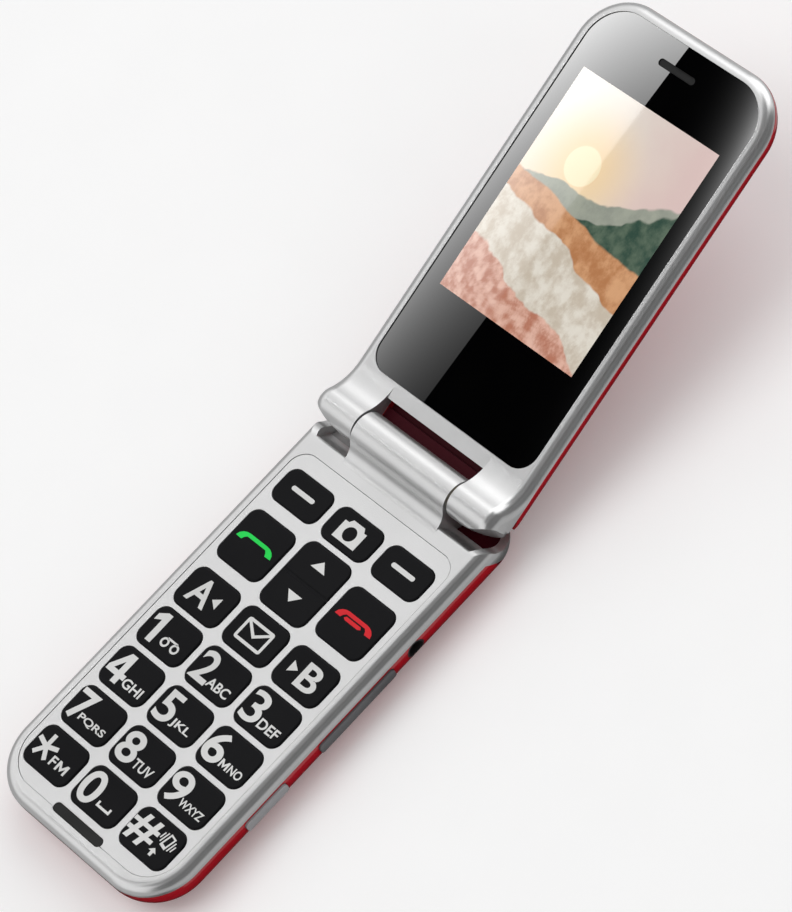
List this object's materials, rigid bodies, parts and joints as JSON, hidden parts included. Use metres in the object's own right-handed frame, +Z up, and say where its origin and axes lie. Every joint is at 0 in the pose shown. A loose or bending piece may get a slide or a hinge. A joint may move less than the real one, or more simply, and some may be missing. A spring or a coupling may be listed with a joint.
{
  "type": "flip phone",
  "caption": "Clamshell flip phone lying open: keypad base with side keys and sliding battery cover, barrel hinge, and tilted lid with screen, earpiece and rear camera.",
  "frame": {"origin": "centre of the base's flat back, on which the open phone lies", "axes": "+X to the side with the side keys, +Y from the keypad's foot to the hinge, +Z up out of the keypad"},
  "size_m": [0.0504, 0.1877, 0.0386],
  "materials": {
    "silver_case": "silver painted plastic, satin",
    "silver_plate": "silver painted plastic, satin",
    "red_case": "dark red, high gloss",
    "key_black": "black with a soft gloss",
    "window_glass": "black-backed, mirror gloss",
    "rocker_grey": "satin",
    "button_grey": "satin",
    "black_mesh": "matte",
    "black_part": "matte",
    "battery_label": "paper label",
    "clear_rubber": "milky silicone",
    "dome_steel": "bright",
    "circuit_board": "solder mask",
    "sheet_steel": "satin",
    "screw_steel": "satin",
    "dark_metal": "dull",
    "contact_gold": "bright",
    "flex_film": "amber film",
    "display_panel": "bonded panel"
  },
  "bodies": {
    "base": {"base_front_cover": "silver_case", "keypad_plate": "silver_plate", "mic_grille": "black_mesh", "base_rear_housing": "red_case", "battery": "battery_label", "key_mat": "clear_rubber", "dome_sheet": "dome_steel", "main_board": "circuit_board", "shield_can": "sheet_steel", "microphone": "sheet_steel", "loudspeaker": "black_part", "vibration_motor": "sheet_steel", "headphone_jack": "black_part", "usb_port": "sheet_steel", "battery_contacts": "contact_gold", "card_holder": "sheet_steel", "antenna": "black_part", "hinge_can": "sheet_steel", "base_flex": "flex_film", "base_screws": "screw_steel", "side_switches": "black_part"},
    "lid": {"lid_front_cover": "silver_case", "lid_rear_cover": "red_case", "display_window": "window_glass", "display_module": "display_panel", "earpiece_mesh": "black_mesh", "earpiece_driver": "black_part", "lid_board_assembly": "circuit_board", "camera_module": "black_part", "camera_window": "window_glass", "lid_magnet": "dark_metal", "lid_screws": "screw_steel", "hinge_cam": "dark_metal", "hinge_bush": "contact_gold", "lid_flex": "flex_film"},
    "battery_cover": {"battery_cover": "red_case"},
    "vibration_weight": {"vibration_weight": "dark_metal"},
    "volume_rocker": {"volume_rocker": "rocker_grey"},
    "side_button": {"side_button": "button_grey"},
    "key_soft_left": {"key_soft_left": "key_black"},
    "key_camera": {"key_camera": "key_black"},
    "key_soft_right": {"key_soft_right": "key_black"},
    "key_call": {"key_call": "key_black"},
    "key_nav": {"key_nav": "key_black"},
    "key_end": {"key_end": "key_black"},
    "key_memory_a": {"key_memory_a": "key_black"},
    "key_message": {"key_message": "key_black"},
    "key_memory_b": {"key_memory_b": "key_black"},
    "key_1": {"key_1": "key_black"},
    "key_2": {"key_2": "key_black"},
    "key_3": {"key_3": "key_black"},
    "key_4": {"key_4": "key_black"},
    "key_5": {"key_5": "key_black"},
    "key_6": {"key_6": "key_black"},
    "key_7": {"key_7": "key_black"},
    "key_8": {"key_8": "key_black"},
    "key_9": {"key_9": "key_black"},
    "key_star": {"key_star": "key_black"},
    "key_0": {"key_0": "key_black"},
    "key_hash": {"key_hash": "key_black"}
  },
  "joints": [
    {"name": "lid_hinge", "type": "hinge", "parent": "base", "child": "lid", "pos_m": [0, 0.0457, 0.0116], "axis": [1, 0, 0], "range_deg": [0, 163]},
    {"name": "battery_cover_slide", "type": "slide", "parent": "base", "child": "battery_cover", "axis": [0, -1, 0], "range_m": [0, 0.09]},
    {"name": "volume_rocker_tilt", "type": "hinge", "parent": "base", "child": "volume_rocker", "pos_m": [0.02195, 0.00395, 0.00575], "axis": [0, 0, 1], "range_deg": [-1, 1], "stiffness_Nm_per_rad": 0.3},
    {"name": "side_button_press", "type": "slide", "parent": "base", "child": "side_button", "axis": [-1, 0, 0], "range_m": [0, 0.00025], "stiffness_N_per_m": 800, "springref_m": -0.0004},
    {"name": "vibration_weight_spin", "type": "hinge", "parent": "base", "child": "vibration_weight", "pos_m": [-0.0176, 0.0282, 0.00445], "axis": [1, 0, 0], "continuous": true},
    {"name": "key_nav_rock", "type": "hinge", "parent": "base", "child": "key_nav", "pos_m": [0, 0.0157, 0.0083], "axis": [1, 0, 0], "range_deg": [-2, 2], "stiffness_Nm_per_rad": 0.15},
    {"name": "key_soft_left_press", "type": "slide", "parent": "base", "child": "key_soft_left", "axis": [0, 0, -1], "range_m": [0, 0.0003], "stiffness_N_per_m": 600, "springref_m": -0.0005},
    {"name": "key_camera_press", "type": "slide", "parent": "base", "child": "key_camera", "axis": [0, 0, -1], "range_m": [0, 0.0003], "stiffness_N_per_m": 600, "springref_m": -0.0005},
    {"name": "key_soft_right_press", "type": "slide", "parent": "base", "child": "key_soft_right", "axis": [0, 0, -1], "range_m": [0, 0.0003], "stiffness_N_per_m": 600, "springref_m": -0.0005},
    {"name": "key_call_press", "type": "slide", "parent": "base", "child": "key_call", "axis": [0, 0, -1], "range_m": [0, 0.0003], "stiffness_N_per_m": 600, "springref_m": -0.0005},
    {"name": "key_end_press", "type": "slide", "parent": "base", "child": "key_end", "axis": [0, 0, -1], "range_m": [0, 0.0003], "stiffness_N_per_m": 600, "springref_m": -0.0005},
    {"name": "key_memory_a_press", "type": "slide", "parent": "base", "child": "key_memory_a", "axis": [0, 0, -1], "range_m": [0, 0.0003], "stiffness_N_per_m": 600, "springref_m": -0.0005},
    {"name": "key_message_press", "type": "slide", "parent": "base", "child": "key_message", "axis": [0, 0, -1], "range_m": [0, 0.0003], "stiffness_N_per_m": 600, "springref_m": -0.0005},
    {"name": "key_memory_b_press", "type": "slide", "parent": "base", "child": "key_memory_b", "axis": [0, 0, -1], "range_m": [0, 0.0003], "stiffness_N_per_m": 600, "springref_m": -0.0005},
    {"name": "key_1_press", "type": "slide", "parent": "base", "child": "key_1", "axis": [0, 0, -1], "range_m": [0, 0.0003], "stiffness_N_per_m": 600, "springref_m": -0.0005},
    {"name": "key_2_press", "type": "slide", "parent": "base", "child": "key_2", "axis": [0, 0, -1], "range_m": [0, 0.0003], "stiffness_N_per_m": 600, "springref_m": -0.0005},
    {"name": "key_3_press", "type": "slide", "parent": "base", "child": "key_3", "axis": [0, 0, -1], "range_m": [0, 0.0003], "stiffness_N_per_m": 600, "springref_m": -0.0005},
    {"name": "key_4_press", "type": "slide", "parent": "base", "child": "key_4", "axis": [0, 0, -1], "range_m": [0, 0.0003], "stiffness_N_per_m": 600, "springref_m": -0.0005},
    {"name": "key_5_press", "type": "slide", "parent": "base", "child": "key_5", "axis": [0, 0, -1], "range_m": [0, 0.0003], "stiffness_N_per_m": 600, "springref_m": -0.0005},
    {"name": "key_6_press", "type": "slide", "parent": "base", "child": "key_6", "axis": [0, 0, -1], "range_m": [0, 0.0003], "stiffness_N_per_m": 600, "springref_m": -0.0005},
    {"name": "key_7_press", "type": "slide", "parent": "base", "child": "key_7", "axis": [0, 0, -1], "range_m": [0, 0.0003], "stiffness_N_per_m": 600, "springref_m": -0.0005},
    {"name": "key_8_press", "type": "slide", "parent": "base", "child": "key_8", "axis": [0, 0, -1], "range_m": [0, 0.0003], "stiffness_N_per_m": 600, "springref_m": -0.0005},
    {"name": "key_9_press", "type": "slide", "parent": "base", "child": "key_9", "axis": [0, 0, -1], "range_m": [0, 0.0003], "stiffness_N_per_m": 600, "springref_m": -0.0005},
    {"name": "key_star_press", "type": "slide", "parent": "base", "child": "key_star", "axis": [0, 0, -1], "range_m": [0, 0.0003], "stiffness_N_per_m": 600, "springref_m": -0.0005},
    {"name": "key_0_press", "type": "slide", "parent": "base", "child": "key_0", "axis": [0, 0, -1], "range_m": [0, 0.0003], "stiffness_N_per_m": 600, "springref_m": -0.0005},
    {"name": "key_hash_press", "type": "slide", "parent": "base", "child": "key_hash", "axis": [0, 0, -1], "range_m": [0, 0.0003], "stiffness_N_per_m": 600, "springref_m": -0.0005}
  ]
}
